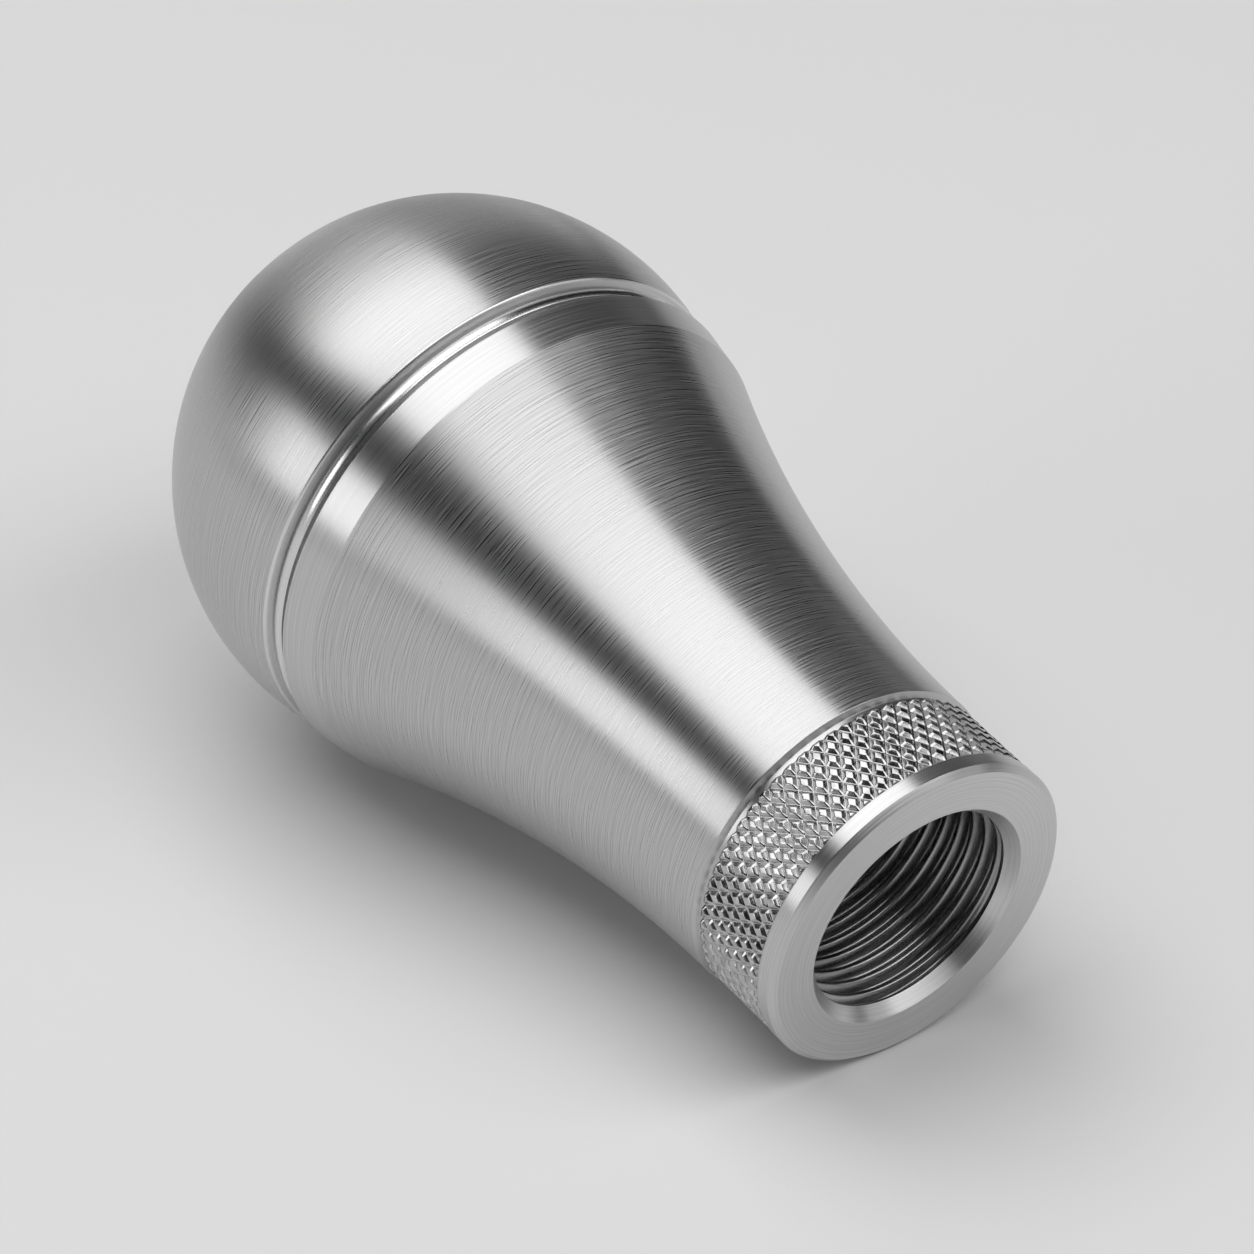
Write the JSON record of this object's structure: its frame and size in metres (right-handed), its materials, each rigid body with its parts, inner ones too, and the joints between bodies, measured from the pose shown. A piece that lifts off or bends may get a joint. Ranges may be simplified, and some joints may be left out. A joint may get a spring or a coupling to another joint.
{
  "type": "gear shift knob",
  "caption": "Ball-topped gear shift knob turned in one piece from brushed stainless steel, with a beaded groove, a tapering neck, a knurled collar and a blind threaded bore in its end.",
  "frame": {"origin": "centre of the collar's flat end face, which is also the bottom centre of the bounding box", "axes": "+Z along the knob's own axis, from the collar's end face to the top of the ball; X and Y are equivalent, as the knob is a turned part"},
  "size_m": [0.046, 0.046, 0.0826],
  "materials": {
    "steel": "fine circumferential brushing on ball, land and neck; polished bead and knurl; lathe marks on the end face"
  },
  "bodies": {
    "root": {"knob_body": "steel"}
  },
  "joints": []
}
